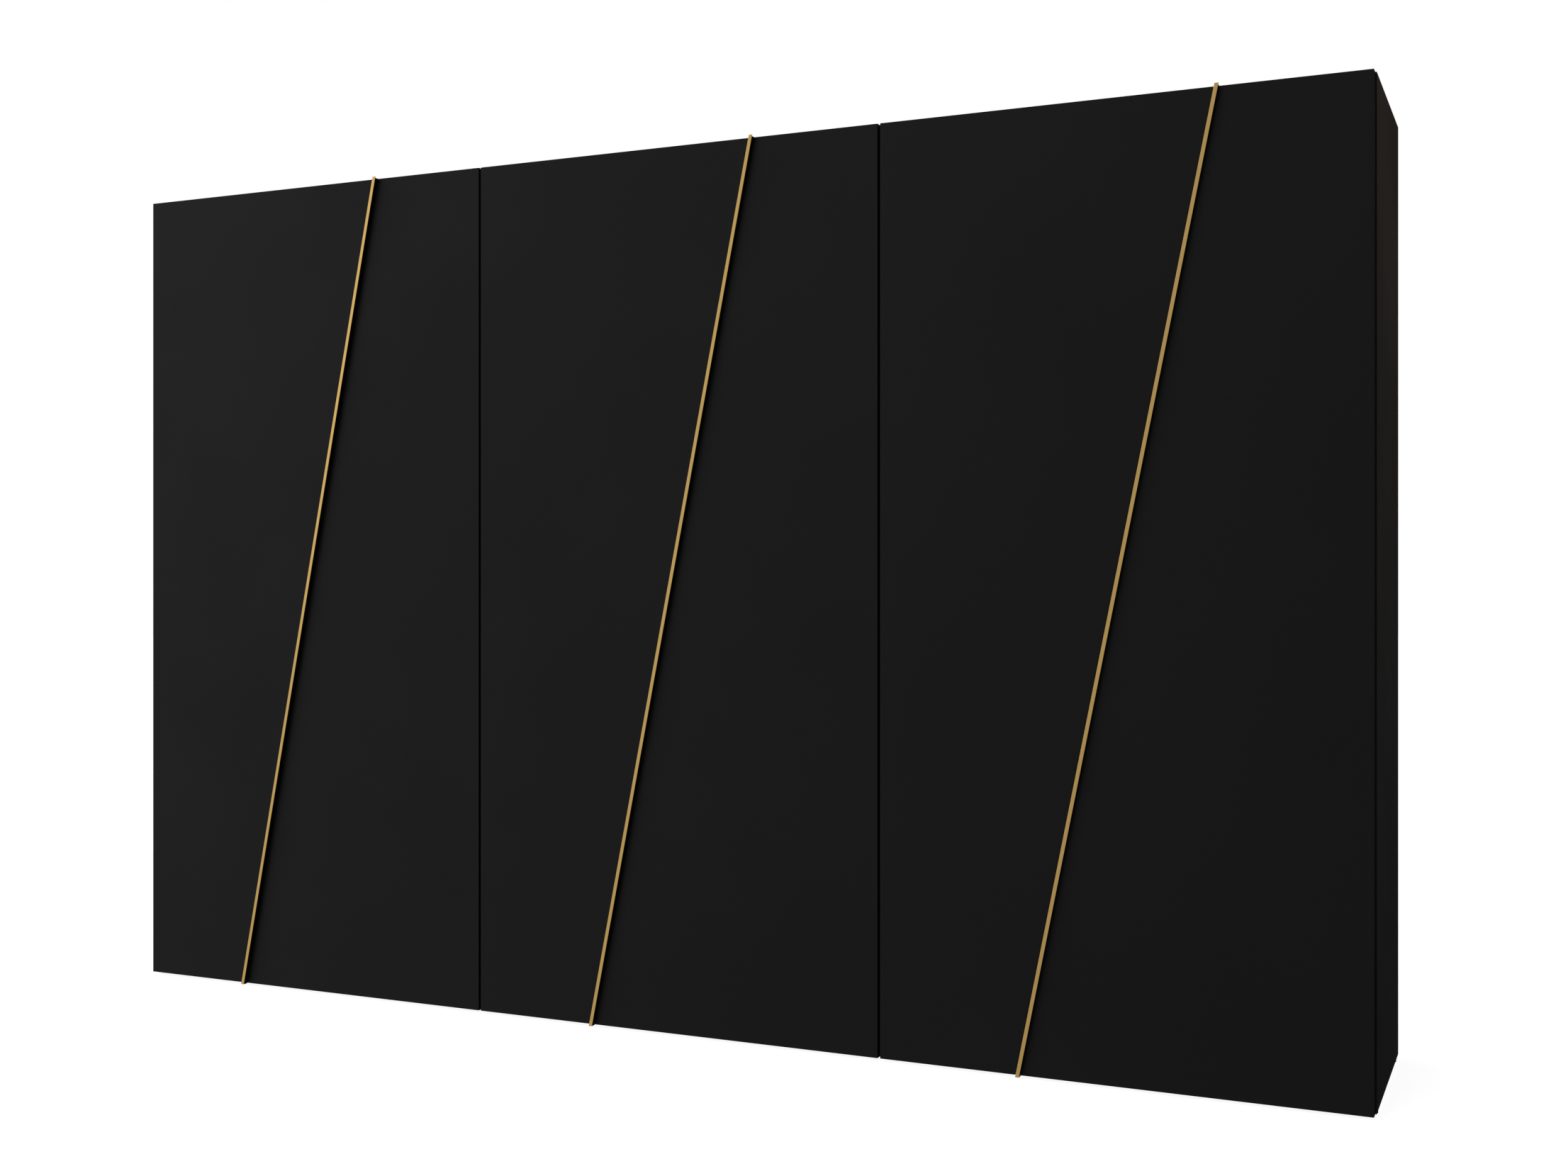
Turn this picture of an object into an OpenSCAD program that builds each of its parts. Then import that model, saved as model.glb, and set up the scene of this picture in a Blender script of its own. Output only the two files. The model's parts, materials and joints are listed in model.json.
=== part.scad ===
// Wardrobe of three equal sections, each closed by a pair of hinged leaves that meet on a slanted line.
// X runs along the front, the front faces -Y, and Z is up from the floor.

/* [Overall] */
// Width of one section, from centre of seam to centre of seam
section_w = 1110; // [700:10:1400]
// Height of the boards and leaves above the floor
height = 2200; // [1700:10:2700]
// Overall depth, from the faces of the strips to the wall
depth = 546; // [380:1:800]

/* [Boards] */
// Thickness of the sides, tops and bottoms
board_t = 22; // [16:0.5:28]
// Thickness of the shelves
shelf_t = 22; // [16:1:30]
// Thickness of the back panels
back_t = 8; // [4:1:12]
// Space between a back panel and the wall
back_inset = 10; // [6:1:40]
// Depth of the grooves that hold the back panels
groove_depth = 8; // [4:1:11]
// Height of the rails under the bottom boards
plinth_h = 52; // [40:1:120]
// Thickness of the rails under the bottom boards
plinth_t = 18; // [12:1:25]
// Setback of the front rail behind the front edge of the sides
plinth_setback = 30; // [10:1:60]

/* [Leaves] */
// Thickness of a leaf
leaf_t = 22; // [20:0.2:27]
// Air between the backs of the leaves and the boards
leaf_air = 4; // [3.9:0.1:6]
// Air between the leaves of neighbouring sections
seam_gap = 6; // [5.5:0.1:10]
// Air between the two leaves of one section, along the slant
slant_gap = 4; // [2:0.5:6]
// Distance from the section's left line to the middle of the slanted gap, at the bottom
slant_start = 333; // [150:1:340]

/* [Strips] */
// Width of a strip, measured level
strip_w = 9; // [8:0.5:40]
// Height of a strip above the face of its leaf, rail and gilt face together
strip_proud = 14; // [12:0.5:20]
// Thickness of the gilt face
gilt_t = 1.5; // [1:0.1:3]
// Length of a gilt face past the top of its rail and leaf
strip_over_top = 3.5; // [0:0.5:5]
// Length of a strip past the bottom of its leaf
strip_over_low = 1.5; // [0:0.5:4]
// Screws along each strip
strip_screws = 8; // [3:1:14]

/* [Hinges] */
// Hinges on each leaf
hinges = 4; // [2:1:6]
// Distance from the leaf's ends to the middle of the end hinges
hinge_end = 120; // [110:1:250]
// Diameter of the cup's bore in the leaf
cup_d = 35; // [34:0.5:36]
// Board left between the cup's bore and the leaf's outer edge
cup_edge = 3; // [2.5:0.1:4]
// Board left in front of the cup's bore
cup_skin = 3.4; // [3:0.1:3.6]
// Pin's distance in from the leaf's outer edge
pin_in = 10.7; // [9.5:0.1:10.8]
// Pin's distance behind the leaf's face
pin_behind = 8; // [7.8:0.1:8]
// Diameter of the hinge pin
pin_d = 3; // [2.4:0.1:3.6]

/* [Inside] */
// Space between the top board and the hat shelf
hat_space = 320; // [200:10:600]
// Distance from the hat shelf down to the middle of the hanging rail
rail_drop = 55; // [35:1:120]
// Outside diameter of the hanging rails
rail_d = 25; // [18:1:32]
// Wall of the hanging rails
rail_wall = 1.5; // [1:0.1:3]
// Diameter of the shelf pins
shelf_pin_d = 5; // [4:0.5:8]
// Setback of the shelves behind the front edge of the sides
shelf_setback = 24; // [15:1:80]

/* [Floor and wall] */
// Height of the glides
glide_h = 8; // [5:0.5:20]
// Diameter of the glides
glide_d = 20; // [12:1:30]
// Diameter of the holes for the wall screws
wall_hole_d = 6; // [4:0.5:8]
// Distance between the two holes of a wall bracket
wall_hole_gap = 40; // [30:1:60]

/* [Hidden] */
SECTIONS = 3;
HAT_SECTIONS = [1, 3];
SHELF_SECTION = 2;
SHELVES = 4;

// Fits and clearances
fit = 0.05;
loose = 0.1;
shelf_play = 1;

// Levels and faces
z_low = glide_h;
z_high = height;
face_y = -depth / 2 + strip_proud;
leaf_back_y = face_y + leaf_t;
front_y = leaf_back_y + leaf_air;
wall_y = depth / 2;
back_y = wall_y - back_inset - back_t;
inner_w = section_w - 2 * board_t;
floor_z = z_low + plinth_h + board_t;
ceiling_z = z_high - board_t;
hat_z = ceiling_z - hat_space - shelf_t;
rail_z = hat_z - rail_drop;
rail_y = (front_y + back_y) / 2;
shelf_y = front_y + shelf_setback;
shelf_depth = back_y - shelf_play - shelf_y;
shelf_pitch = (ceiling_z - floor_z - SHELVES * shelf_t) / (SHELVES + 1) + shelf_t;
leaf_inset = seam_gap / 2;
slant_run = section_w - 2 * slant_start;

// Screws: one size throughout
screw_r = 2;
screw_l = 10;
screw_head_r = 3.5;
screw_head_h = 2;

// Hinge
cup_r = cup_d / 2;
cup_x = leaf_inset + cup_edge + cup_r;
cup_wall = 1.2;
cup_inner_r = cup_r - fit - cup_wall;
cup_y = face_y + cup_skin + loose;
flange_t = 1.2;
flange_r = cup_r + 1.2;
flange_h = 60;
flange_w = 20;
dowel_r = 4;
dowel_l = 11;
dowel_gap = 48;
pin_r = pin_d / 2;
pin_x = leaf_inset + pin_in;
pin_y = face_y + pin_behind;
pin_half = sqrt(pow(cup_r - fit, 2) - pow(cup_x - pin_x + pin_r, 2)) - 0.2;
eye_r = 2.95;
sweep_r = max(norm([pin_in, leaf_t - pin_behind]),
              norm([pin_x - cup_x + flange_r, leaf_t + flange_t - pin_behind]));
arm_x = ceil((pin_x + sweep_r + 0.6) * 10) / 10;
arm_t = 2.5;
arm_h = 10;
arm_end_y = front_y + 66;
plate_y = front_y + 12;
plate_w = 50;
plate_h = 16;
wing_t = 2;
wing_w = 18;
wing_h = 64;
wing_gap = 48;
wing_y = front_y + 37;
arm_screw_y = front_y + 52;

// Strip screws
strip_screw_end = 70;
strip_screw_r = 1.6;
strip_screw_head_r = 3;
strip_screw_head_h = 2;
strip_screw_bite = 8;

// Fittings between the boards
cam_r = 7.5;
cam_h = 12.5;
cam_in = board_t + 12;
cam_bolt_r = 3.5;
cam_bolt_bite = 11;
cam_ys = [front_y + 60, back_y - 60];
bolt_r = 4;
bolt_head_r = 7.5;
bolt_head_h = 2;
bolt_ys = [front_y + 110, back_y - 110];
bolt_zs = [z_low + 300, z_high - 300];
shelf_pin_bite = 9;
shelf_pin_out = 9;
shelf_pin_ys = [shelf_y + 40, back_y - 60];
nail_r = 1.5;
nail_l = 12;
glide_ys = [front_y + 40, wall_y - 40];
glide_x = max(board_t / 2, glide_d / 2 + 0.3);
socket_t = 3;
socket_cup = 12;
socket_wall = 2.5;
socket_ring_r = rail_d / 2 + fit + socket_wall;
socket_gap = 2 * (socket_ring_r + screw_head_r + 1);
bracket_w = 64;
bracket_leg = 30;
bracket_drop = 48;
bracket_t = 2.5;
bumper_r = 4;
bumper_t = leaf_air - 0.4;
bumper_in = 18;

BLACK = "#252324";
GOLD = "#c9a960";
STEEL = "silver";
GREY = "#6c6c6e";

$fn = 48;

// Left line of a section
function left_x(s) = (s - 1 - SECTIONS / 2) * section_w;
// Middle of the slanted gap and of the strip at height z, from the section's left line
function slant_x(z) = slant_start + (z - z_low) / (z_high - z_low) * slant_run;
function strip_x(z) = slant_x(z) + slant_gap / 2 + strip_w / 2;
// Heights of the hinges, the strip screws and the centre shelves
function hinge_z(i) = z_low + hinge_end + i * (z_high - z_low - 2 * hinge_end) / (hinges - 1);
function strip_screw_z(i) =
    z_low + strip_screw_end + i * (z_high - z_low - 2 * strip_screw_end) / (strip_screws - 1);
function shelf_z(i) = floor_z + i * shelf_pitch - shelf_t;
// Under sides of every shelf of a section
function shelf_levels(s) = s == SHELF_SECTION ? [for (i = [1 : SHELVES]) shelf_z(i)] : [hat_z];

// Puts a thing drawn from the left line inwards at a section's left or right side
module at_side(s, right) {
    translate([left_x(s) + (right ? section_w : 0), 0, 0])
        if (right) mirror([1, 0, 0]) children();
        else children();
}
module each_side() {
    for (s = [1 : SECTIONS], right = [false, true]) at_side(s, right) children();
}
module each_hinge() {
    for (i = [0 : hinges - 1]) translate([0, 0, hinge_z(i)]) children();
}

module along_x(r, l) { rotate([0, 90, 0]) cylinder(r = r, h = l); }
module along_y(r, l) { rotate([-90, 0, 0]) cylinder(r = r, h = l); }
module block(low, high) { translate(low) cube(high - low); }
// A slab that fills an outline in X and Z, from y to y + t
module slab(outline, y, t) {
    translate([0, y + t, 0]) rotate([90, 0, 0]) linear_extrude(t) polygon(outline);
}
// Screw whose head lies at the origin and whose shank runs along +Z
module screw() {
    translate([0, 0, -screw_head_h]) cylinder(r = screw_head_r, h = screw_head_h);
    cylinder(r = screw_r, h = screw_l);
}
// Hole that a screw's shank fits, from its head down to depth l
module screw_hole(l) { translate([0, 0, -1]) cylinder(r = screw_r + fit, h = l + 1 + loose); }

// Places of the screws on one side, each pointing into what it bites
module at_wing_screws() {
    each_hinge() for (z = [-1, 1])
        translate([board_t + wing_t, wing_y, z * wing_gap / 2]) rotate([0, -90, 0]) children();
}
module at_arm_screws() {
    each_hinge() translate([arm_x + arm_t, arm_screw_y, 0]) rotate([0, -90, 0]) children();
}
module at_socket_screws() {
    for (y = [-1, 1])
        translate([board_t + socket_t, rail_y + y * socket_gap / 2, rail_z]) rotate([0, -90, 0]) children();
}
module at_bracket_screws(s) {
    for (x = [-1, 1])
        translate([left_x(s) + section_w / 2 + x * wall_hole_gap / 2, back_y - bracket_leg / 2,
                   ceiling_z - bracket_t]) children();
}
module at_cams(z) {
    for (y = cam_ys) translate([cam_in, y, z]) children();
}
module at_cam_bolts() {
    for (y = cam_ys, z = [floor_z - board_t / 2, ceiling_z + board_t / 2])
        translate([board_t - cam_bolt_bite, y, z]) children();
}
module at_section_bolts(side_x) {
    for (y = bolt_ys, z = bolt_zs) translate([side_x, y, z]) children();
}
module at_shelf_pins(s) {
    for (y = shelf_pin_ys, z = shelf_levels(s))
        translate([board_t - shelf_pin_bite, y, z - shelf_pin_d / 2]) children();
}

// Sides of a section, with every hole that its fittings use
module side(s, right) {
    color(BLACK) at_side(s, right) difference() {
        block([0, front_y, z_low], [board_t, wall_y, z_high]);
        block([board_t - groove_depth, back_y - loose, floor_z - groove_depth],
              [board_t + 1, back_y + back_t + loose, ceiling_z + groove_depth]);
        at_wing_screws() screw_hole(screw_l);
        at_arm_screws() screw_hole(screw_l);
        at_cam_bolts() along_x(cam_bolt_r + fit, cam_bolt_bite + 1);
        at_shelf_pins(s) along_x(shelf_pin_d / 2 + fit, shelf_pin_bite + 1);
        for (y = glide_ys) translate([glide_x, y, z_low - 1]) cylinder(r = nail_r + fit, h = nail_l + 1);
        if (s != SHELF_SECTION) at_socket_screws() screw_hole(screw_l);
        if (right ? s < SECTIONS : s > 1) at_section_bolts(-1) along_x(bolt_r + fit, board_t + 2);
    }
}

// Board between the sides; groove_side is -1 for a groove in its under side and 1 for one on top
module cross_board(s, z, groove_side) {
    outer_z = groove_side > 0 ? z : z + board_t;
    groove_z = groove_side > 0 ? z + board_t - groove_depth : z - 1;
    color(BLACK) difference() {
        translate([left_x(s), 0, 0])
            block([board_t, front_y, z], [section_w - board_t, wall_y, z + board_t]);
        translate([left_x(s), 0, 0])
            block([board_t - 1, back_y - loose, groove_z],
                  [section_w - board_t + 1, back_y + back_t + loose, groove_z + groove_depth + 1]);
        for (right = [false, true]) at_side(s, right) {
            at_cams(outer_z - (groove_side > 0 ? 1 : cam_h)) cylinder(r = cam_r + fit, h = cam_h + 1);
            for (y = cam_ys)
                translate([board_t - 1, y, z + board_t / 2]) along_x(cam_bolt_r + fit, cam_in - board_t + 1);
        }
        if (groove_side < 0) at_bracket_screws(s) screw_hole(screw_l);
    }
}
module top_board(s) { cross_board(s, ceiling_z, -1); }
module bottom_board(s) { cross_board(s, floor_z - board_t, 1); }

module back_panel(s) {
    tongue = groove_depth - 1;
    color(GREY) difference() {
        translate([left_x(s), 0, 0])
            block([board_t - tongue, back_y, floor_z - tongue],
                  [section_w - board_t + tongue, back_y + back_t, ceiling_z + tongue]);
        at_wall_holes(s) along_y(wall_hole_d / 2 + 1, back_t + 2);
    }
}
module at_wall_holes(s) {
    for (x = [-1, 1])
        translate([left_x(s) + section_w / 2 + x * wall_hole_gap / 2, back_y - 1,
                   ceiling_z - bracket_drop * 0.65]) children();
}

// Front and rear rails that carry the bottom boards
module plinth_rails() {
    color(BLACK) for (s = [1 : SECTIONS]) translate([left_x(s), 0, 0])
        for (y = [front_y + plinth_setback, back_y - plinth_t])
            block([board_t, y, z_low], [section_w - board_t, y + plinth_t, z_low + plinth_h]);
}

module shelf_board(s, z) {
    color(BLACK) translate([left_x(s), 0, 0])
        block([board_t + shelf_play, shelf_y, z],
              [section_w - board_t - shelf_play, shelf_y + shelf_depth, z + shelf_t]);
}
module hat_shelves() { for (s = HAT_SECTIONS) shelf_board(s, hat_z); }
module shelf_pins() {
    color(STEEL) for (s = [1 : SECTIONS], right = [false, true])
        at_side(s, right) at_shelf_pins(s) along_x(shelf_pin_d / 2, shelf_pin_bite + shelf_pin_out);
}

module hanging_rails() {
    color(STEEL) for (s = HAT_SECTIONS)
        translate([left_x(s) + board_t + socket_t, rail_y, rail_z]) difference() {
            along_x(rail_d / 2, inner_w - 2 * socket_t);
            translate([-1, 0, 0]) along_x(rail_d / 2 - rail_wall, inner_w - 2 * socket_t + 2);
        }
}
module rail_sockets() {
    half_w = socket_gap / 2 + screw_head_r + 2;
    color(STEEL) for (s = HAT_SECTIONS, right = [false, true]) at_side(s, right) difference() {
        union() {
            block([board_t, rail_y - half_w, rail_z - socket_ring_r],
                  [board_t + socket_t, rail_y + half_w, rail_z + socket_ring_r]);
            translate([board_t + socket_t, rail_y, rail_z]) along_x(socket_ring_r, socket_cup);
        }
        translate([board_t + socket_t, rail_y, rail_z]) along_x(rail_d / 2 + fit, socket_cup + 1);
        at_socket_screws() screw_hole(socket_t + 1);
    }
}

module cam_housings() {
    color(STEEL) each_side() {
        at_cams(z_high - cam_h) cylinder(r = cam_r, h = cam_h);
        at_cams(floor_z - board_t) cylinder(r = cam_r, h = cam_h);
    }
}
module cam_bolts() {
    color(STEEL) each_side() at_cam_bolts()
        along_x(cam_bolt_r, cam_bolt_bite + cam_in - board_t - cam_r - loose);
}
// Sleeve bolts that pull neighbouring sections together
module section_bolts() {
    color(STEEL) for (s = [1 : SECTIONS - 1]) translate([left_x(s) + section_w, 0, 0]) {
        at_section_bolts(-board_t) along_x(bolt_r, 2 * board_t);
        at_section_bolts(-board_t - bolt_head_h) along_x(bolt_head_r, bolt_head_h);
        at_section_bolts(board_t) along_x(bolt_head_r, bolt_head_h);
    }
}

module glides() {
    color(GREY) each_side() for (y = glide_ys) translate([glide_x, y, 0]) {
        cylinder(r = glide_d / 2, h = glide_h);
        cylinder(r = nail_r, h = glide_h + nail_l - loose);
    }
}

// Angle brackets under the top boards that hold the wardrobe to the wall
module wall_brackets() {
    color(STEEL) for (s = [1 : SECTIONS]) difference() {
        translate([left_x(s) + section_w / 2 - bracket_w / 2, 0, 0]) {
            block([0, back_y - bracket_leg, ceiling_z - bracket_t], [bracket_w, back_y, ceiling_z]);
            block([0, back_y - bracket_t, ceiling_z - bracket_drop], [bracket_w, back_y, ceiling_z]);
        }
        at_wall_holes(s) translate([0, -bracket_t, 0]) along_y(wall_hole_d / 2, bracket_t + 2);
        at_bracket_screws(s) screw_hole(bracket_t + 1);
    }
}

module screws() {
    color(STEEL) {
        each_side() {
            at_wing_screws() screw();
            at_arm_screws() screw();
        }
        for (s = HAT_SECTIONS, right = [false, true]) at_side(s, right) at_socket_screws() screw();
        for (s = [1 : SECTIONS]) at_bracket_screws(s) screw();
    }
}

// Soft stops on the front edges of the tops and bottoms, by the slant
module bumpers() {
    color(GREY) for (s = [1 : SECTIONS], z = [floor_z - board_t / 2, ceiling_z + board_t / 2], side = [-1, 1])
        translate([left_x(s) + slant_x(z) + side * bumper_in, front_y - bumper_t, z])
            along_y(bumper_r, bumper_t);
}

// Mounting plates on the inner faces of the sides, with wings for their screws
module hinge_plates() {
    color(STEEL) each_side() each_hinge() difference() {
        union() {
            block([board_t, plate_y, -plate_h / 2], [arm_x, plate_y + plate_w, plate_h / 2]);
            block([board_t, wing_y - wing_w / 2, -wing_h / 2], [board_t + wing_t, wing_y + wing_w / 2, wing_h / 2]);
        }
        for (z = [-1, 1]) translate([board_t - 1, wing_y, z * wing_gap / 2])
            along_x(screw_r + fit, wing_t + 2);
        translate([arm_x - screw_l, arm_screw_y, 0]) along_x(screw_r + fit, screw_l + 1);
    }
}

// Arms that run forward past the open leaf and hook back to an eye on the pin
module hinge_arms() {
    color(STEEL) each_side() each_hinge() difference() {
        union() {
            block([arm_x, pin_y - arm_t / 2, -arm_h / 2], [arm_x + arm_t, arm_end_y, arm_h / 2]);
            block([pin_x, pin_y - arm_t / 2, -arm_h / 2], [arm_x + arm_t, pin_y + arm_t / 2, arm_h / 2]);
            translate([pin_x, pin_y, -arm_h / 2]) cylinder(r = eye_r, h = arm_h);
        }
        translate([pin_x, pin_y, -arm_h / 2 - 1]) cylinder(r = pin_r + fit, h = arm_h + 2);
        translate([arm_x - 1, arm_screw_y, 0]) along_x(screw_r + fit, arm_t + 2);
    }
}

// Leaf k hangs on the left side of its section when k is odd
function leaf_section(k) = ceil(k / 2);
function hung_right(k) = k % 2 == 0;

module leaf(k) {
    s = leaf_section(k);
    half_gap = slant_gap / 2;
    outline = hung_right(k)
        ? [[slant_x(z_low) + half_gap, z_low], [section_w - leaf_inset, z_low],
           [section_w - leaf_inset, z_high], [slant_x(z_high) + half_gap, z_high]]
        : [[leaf_inset, z_low], [slant_x(z_low) - half_gap, z_low],
           [slant_x(z_high) - half_gap, z_high], [leaf_inset, z_high]];
    color(BLACK) difference() {
        translate([left_x(s), 0, 0]) slab(outline, face_y, leaf_t);
        at_side(s, hung_right(k)) each_hinge() {
            translate([cup_x, face_y + cup_skin, 0]) along_y(cup_r, leaf_t);
            for (z = [-1, 1]) translate([cup_x, leaf_back_y - dowel_l, z * dowel_gap / 2])
                along_y(dowel_r + fit, dowel_l + 1);
        }
        if (hung_right(k)) at_strip_screws(s) {
            translate([0, face_y - 1, 0]) along_y(strip_screw_r + fit, leaf_t + 2);
            translate([0, leaf_back_y - strip_screw_head_h, 0])
                along_y(strip_screw_head_r + fit, strip_screw_head_h + 1);
        }
    }
}

// Cup, flange and knock-in dowels of every hinge of one leaf
module hinge_cups(k) {
    color(STEEL) at_side(leaf_section(k), hung_right(k)) each_hinge() difference() {
        union() {
            translate([cup_x, cup_y, 0]) along_y(cup_r - fit, leaf_back_y - cup_y);
            translate([cup_x, leaf_back_y, 0]) along_y(flange_r, flange_t);
            block([cup_x - flange_w / 2, leaf_back_y, -flange_h / 2], [cup_x + flange_w / 2, leaf_back_y + flange_t, flange_h / 2]);
            for (z = [-1, 1]) translate([cup_x, leaf_back_y - dowel_l + loose, z * dowel_gap / 2])
                along_y(dowel_r, dowel_l);
        }
        translate([cup_x, cup_y + cup_wall, 0]) along_y(cup_inner_r, leaf_t + flange_t);
        translate([pin_x, pin_y, -cup_r]) cylinder(r = pin_r + fit / 2, h = cup_d);
    }
}

module hinge_pins(k) {
    color(STEEL) at_side(leaf_section(k), hung_right(k)) each_hinge()
        translate([pin_x, pin_y, -pin_half]) cylinder(r = pin_r, h = 2 * pin_half);
}

// Layer of a section's strip, t thick from y, up to the height top along the right leaf's slanted edge
module strip_layer(s, y, t, top) {
    low = z_low - strip_over_low;
    translate([left_x(s), 0, 0])
        slab([for (p = [[-1, low], [1, low], [1, top], [-1, top]])
                 [strip_x(p[1]) + p[0] * strip_w / 2, p[1]]], y, t);
}
module strip_rail(s) {
    color(BLACK) difference() {
        strip_layer(s, face_y - strip_proud + gilt_t, strip_proud - gilt_t, z_high);
        at_strip_screws(s) translate([0, face_y - strip_screw_bite - loose, 0])
            along_y(strip_screw_r + fit, strip_screw_bite + 1);
    }
}
module strip_face(s) {
    color(GOLD) strip_layer(s, face_y - strip_proud, gilt_t, z_high + strip_over_top);
}
module at_strip_screws(s) {
    for (i = [0 : strip_screws - 1])
        translate([left_x(s) + strip_x(strip_screw_z(i)), 0, strip_screw_z(i)]) children();
}
module strip_screws(s) {
    color(STEEL) at_strip_screws(s) {
        translate([0, face_y - strip_screw_bite, 0])
            along_y(strip_screw_r, strip_screw_bite + leaf_t - loose);
        translate([0, leaf_back_y - strip_screw_head_h, 0])
            along_y(strip_screw_head_r, strip_screw_head_h - loose);
    }
}

side(1, false);  // side_left_1
side(2, false);  // side_left_2
side(3, false);  // side_left_3
side(1, true);  // side_right_1
side(2, true);  // side_right_2
side(3, true);  // side_right_3
top_board(1);  // top_1
top_board(2);  // top_2
top_board(3);  // top_3
bottom_board(1);  // bottom_1
bottom_board(2);  // bottom_2
bottom_board(3);  // bottom_3
back_panel(1);  // back_1
back_panel(2);  // back_2
back_panel(3);  // back_3
plinth_rails();
hat_shelves();
shelf_board(SHELF_SECTION, shelf_z(1));  // shelf_1
shelf_board(SHELF_SECTION, shelf_z(2));  // shelf_2
shelf_board(SHELF_SECTION, shelf_z(3));  // shelf_3
shelf_board(SHELF_SECTION, shelf_z(4));  // shelf_4
shelf_pins();
hanging_rails();
rail_sockets();
cam_housings();
cam_bolts();
section_bolts();
glides();
wall_brackets();
screws();
bumpers();
hinge_plates();
hinge_arms();
leaf(1);  // leaf_1
leaf(2);  // leaf_2
leaf(3);  // leaf_3
leaf(4);  // leaf_4
leaf(5);  // leaf_5
leaf(6);  // leaf_6
hinge_cups(1);  // hinge_cups_1
hinge_cups(2);  // hinge_cups_2
hinge_cups(3);  // hinge_cups_3
hinge_cups(4);  // hinge_cups_4
hinge_cups(5);  // hinge_cups_5
hinge_cups(6);  // hinge_cups_6
hinge_pins(1);  // hinge_pins_1
hinge_pins(2);  // hinge_pins_2
hinge_pins(3);  // hinge_pins_3
hinge_pins(4);  // hinge_pins_4
hinge_pins(5);  // hinge_pins_5
hinge_pins(6);  // hinge_pins_6
strip_rail(1);  // strip_rail_1
strip_rail(2);  // strip_rail_2
strip_rail(3);  // strip_rail_3
strip_face(1);  // strip_face_1
strip_face(2);  // strip_face_2
strip_face(3);  // strip_face_3
strip_screws(1);  // strip_screws_1
strip_screws(2);  // strip_screws_2
strip_screws(3);  // strip_screws_3
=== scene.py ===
"""Looks of a wardrobe with six hinged leaves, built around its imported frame."""

import json
import math

import bmesh
import bpy
from bpy.props import FloatProperty, FloatVectorProperty, PointerProperty
from mathutils import Matrix, Vector


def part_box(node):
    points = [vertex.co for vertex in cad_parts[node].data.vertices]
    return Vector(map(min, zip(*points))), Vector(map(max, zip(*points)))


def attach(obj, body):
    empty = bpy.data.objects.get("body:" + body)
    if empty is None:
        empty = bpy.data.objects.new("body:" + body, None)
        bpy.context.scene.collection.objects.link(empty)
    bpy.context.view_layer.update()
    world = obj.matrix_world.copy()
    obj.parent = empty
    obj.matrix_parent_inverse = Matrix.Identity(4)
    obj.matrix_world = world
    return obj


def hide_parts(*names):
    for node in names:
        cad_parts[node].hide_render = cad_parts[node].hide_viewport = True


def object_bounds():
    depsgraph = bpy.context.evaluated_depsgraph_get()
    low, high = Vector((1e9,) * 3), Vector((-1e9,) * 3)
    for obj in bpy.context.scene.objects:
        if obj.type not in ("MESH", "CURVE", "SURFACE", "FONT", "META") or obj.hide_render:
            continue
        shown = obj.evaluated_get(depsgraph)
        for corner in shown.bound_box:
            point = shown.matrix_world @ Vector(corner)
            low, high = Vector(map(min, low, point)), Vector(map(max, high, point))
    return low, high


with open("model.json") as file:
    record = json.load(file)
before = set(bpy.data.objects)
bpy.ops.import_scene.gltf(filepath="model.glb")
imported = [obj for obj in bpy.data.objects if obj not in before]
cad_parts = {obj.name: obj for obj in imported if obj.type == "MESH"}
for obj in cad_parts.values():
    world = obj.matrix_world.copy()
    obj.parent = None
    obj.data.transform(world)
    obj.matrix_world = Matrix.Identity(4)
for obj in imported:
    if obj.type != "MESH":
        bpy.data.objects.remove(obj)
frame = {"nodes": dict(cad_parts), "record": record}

bl_info = {
    "name": "Slanted wardrobe",
    "version": (1, 0, 0),
    "blender": (4, 5, 0),
    "location": "View3D > Sidebar > Wardrobe",
    "description": "Builds the leaves, strips, carcass and fittings of the wardrobe, and its stage",
    "category": "Object",
}

NODES = frame["nodes"]
RECORD = frame["record"]
BODY_OF = {node: body for body, nodes in RECORD["behaviour"]["bodies"].items() for node in nodes}
SLOT_OF = {part["node"]: part["material_slot"] for part in RECORD["subparts"]}
MM = 0.001
STRIP_WIDTH = 9 * MM

# Sizes that the looks share, read from the frame
CAD_LOW, CAD_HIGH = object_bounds()
LEAF_LOW, LEAF_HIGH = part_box("leaf_1")
SIDE_LOW, SIDE_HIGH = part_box("side_left_1")
SHELF_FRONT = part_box("shelf_1")[0].y
BACK_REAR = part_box("back_1")[1].y
SECTION_LINES = (CAD_HIGH.x / 3, CAD_HIGH.x)
STRIP_LOW, STRIP_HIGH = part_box("strip_face_1")
STRIP_SIZE = STRIP_HIGH - STRIP_LOW
SLANT = math.atan2(STRIP_SIZE.x - STRIP_WIDTH, STRIP_SIZE.z)

# Meshes: vertices closer than WELD are joined, faces that turn less than FLAT are one, edges that
# turn more than HARD are sharp
WELD = 0.01 * MM
FLAT = math.radians(0.3)
HARD = math.radians(35)

# Boards: depths of the lacquered skin and of the edge band, and where one finish gives way
SKIN = 0.5 * MM
BAND = 1.0 * MM
BLEND = 0.1 * MM

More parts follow.
